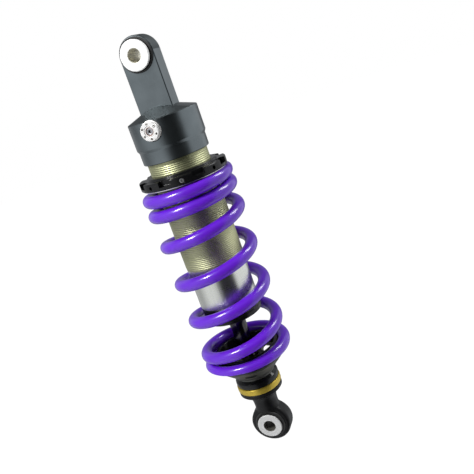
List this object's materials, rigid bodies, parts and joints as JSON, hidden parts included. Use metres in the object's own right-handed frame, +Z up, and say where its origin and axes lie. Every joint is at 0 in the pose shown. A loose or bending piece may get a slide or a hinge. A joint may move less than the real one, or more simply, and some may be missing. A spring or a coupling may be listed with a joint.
{
  "type": "coilover",
  "caption": "Motorcycle-type rear coilover: gas damper with threaded body and preload collar inside a coil spring, an eye at each end.",
  "frame": {"origin": "centre of the upper eye's bore", "axes": "+Z up along the damper from the lower eye to the upper eye, +Y along the eyes' bolts towards the back, compression adjuster on the -Y side"},
  "size_m": [0.0752, 0.0752, 0.351],
  "materials": {
    "grey_anodised": "satin anodised",
    "champagne_thread": "satin anodised, threaded",
    "black_anodised": "satin black anodised",
    "carrier_grey": "dark grey anodised",
    "gold_anodised": "satin gold anodised",
    "spacer_white": "bead blasted",
    "bright_aluminium": "turned bright",
    "spring_purple": "gloss powder coat",
    "dark_rod": "polished dark coating",
    "steel": "ground",
    "copper_tint": "anodised",
    "brass": "turned",
    "rubber_black": "matt",
    "bush_bronze": "sintered",
    "band_green": "matt"
  },
  "bodies": {
    "damper_body": {"upper_mount": "grey_anodised", "damper_tube": "champagne_thread", "tube_o_ring": "rubber_black", "upper_race": "steel", "upper_circlips": "steel", "upper_dust_seals": "rubber_black", "compression_body": "bright_aluminium", "compression_bush": "copper_tint", "compression_detent": "steel", "needle_tube": "bright_aluminium", "gas_valve": "brass", "gas_valve_cap": "black_anodised", "base_valve": "bright_aluminium", "base_valve_shims": "steel", "base_valve_bolt": "steel", "base_valve_clips": "steel", "end_cap": "black_anodised", "head_o_ring": "rubber_black", "rod_bush": "bush_bronze", "rod_seal": "rubber_black", "rod_wiper": "rubber_black", "topout_rubber": "rubber_black"},
    "spring_seat": {"slip_washer": "bright_aluminium", "spring": "spring_purple"},
    "collar": {"preload_collar": "black_anodised", "collar_screw": "bright_aluminium"},
    "rod_assembly": {"rod": "dark_rod", "piston": "bright_aluminium", "piston_band": "band_green", "piston_shims": "steel", "piston_washers": "steel", "piston_nut": "steel", "bump_stop": "rubber_black", "lower_spring_seat": "black_anodised", "spring_retainer": "carrier_grey", "lock_ring": "black_anodised", "lower_mount": "black_anodised", "lower_race": "steel", "lower_circlips": "steel", "lower_dust_seals": "rubber_black", "rebound_detent": "steel"},
    "gas_piston": {"floating_piston": "bright_aluminium", "floating_o_ring": "rubber_black"},
    "compression_adjuster": {"compression_screw": "steel"},
    "wedge": {"compression_wedge": "steel"},
    "bleed_needle": {"compression_needle": "steel"},
    "rebound_adjuster": {"rebound_wheel": "gold_anodised"},
    "metering_rod": {"rebound_needle": "steel", "rebound_cross_pin": "steel"},
    "upper_bearing_ball": {"upper_ball": "steel"},
    "upper_sleeve": {"upper_spacers": "spacer_white"},
    "lower_bearing_ball": {"lower_ball": "steel"},
    "lower_sleeve": {"lower_spacers": "spacer_white"}
  },
  "joints": [
    {"name": "preload_travel", "type": "slide", "parent": "damper_body", "child": "spring_seat", "axis": [0, 0, 1], "range_m": [-0.006, 0.003]},
    {"name": "preload_turn", "type": "hinge", "parent": "spring_seat", "child": "collar", "pos_m": [0, 0, -0.0928], "axis": [0, 0, 1], "range_deg": [-1440, 720]},
    {"name": "damper_stroke", "type": "slide", "parent": "spring_seat", "child": "rod_assembly", "axis": [0, 0, 1], "range_m": [0, 0.037], "stiffness_N_per_m": 85000, "deforming": ["spring"]},
    {"name": "floating_piston_slide", "type": "slide", "parent": "damper_body", "child": "gas_piston", "axis": [0, 0, 1], "range_m": [0, 0.0049]},
    {"name": "compression_turn", "type": "hinge", "parent": "damper_body", "child": "compression_adjuster", "pos_m": [0, -0.024, -0.053], "axis": [0, 1, 0], "range_deg": [-540, 540]},
    {"name": "wedge_slide", "type": "slide", "parent": "damper_body", "child": "wedge", "axis": [0, 1, 0], "range_m": [-0.00075, 0.00075]},
    {"name": "bleed_needle_slide", "type": "slide", "parent": "damper_body", "child": "bleed_needle", "axis": [0, 0, 1], "range_m": [-0.0003, 0.0003], "stiffness_N_per_m": 10, "springref_m": 0.00275},
    {"name": "rebound_turn", "type": "hinge", "parent": "rod_assembly", "child": "rebound_adjuster", "pos_m": [0, 0, -0.2819], "axis": [0, 0, 1], "range_deg": [-165, 165]},
    {"name": "metering_rod_slide", "type": "slide", "parent": "rod_assembly", "child": "metering_rod", "axis": [0, 0, 1], "range_m": [-0.0009, 0.0009]},
    {"name": "upper_tilt", "type": "hinge", "parent": "damper_body", "child": "upper_bearing_ball", "pos_m": [0, 0, 0], "axis": [1, 0, 0], "range_deg": [-5, 5]},
    {"name": "upper_swing", "type": "hinge", "parent": "upper_bearing_ball", "child": "upper_sleeve", "pos_m": [0, 0, 0], "axis": [0, 1, 0], "continuous": true},
    {"name": "lower_tilt", "type": "hinge", "parent": "rod_assembly", "child": "lower_bearing_ball", "pos_m": [0, 0, -0.32], "axis": [1, 0, 0], "range_deg": [-5, 5]},
    {"name": "lower_swing", "type": "hinge", "parent": "lower_bearing_ball", "child": "lower_sleeve", "pos_m": [0, 0, -0.32], "axis": [0, 1, 0], "continuous": true}
  ],
  "couplings": [
    {"joint": "preload_turn", "follows": "preload_travel", "rad_per_m": 4188.4},
    {"joint": "floating_piston_slide", "follows": "damper_stroke", "ratio": 0.13067},
    {"joint": "compression_turn", "follows": "wedge_slide", "rad_per_m": 12565},
    {"joint": "bleed_needle_slide", "follows": "wedge_slide", "ratio": -0.36667},
    {"joint": "rebound_turn", "follows": "metering_rod_slide", "rad_per_m": 3199.5}
  ]
}
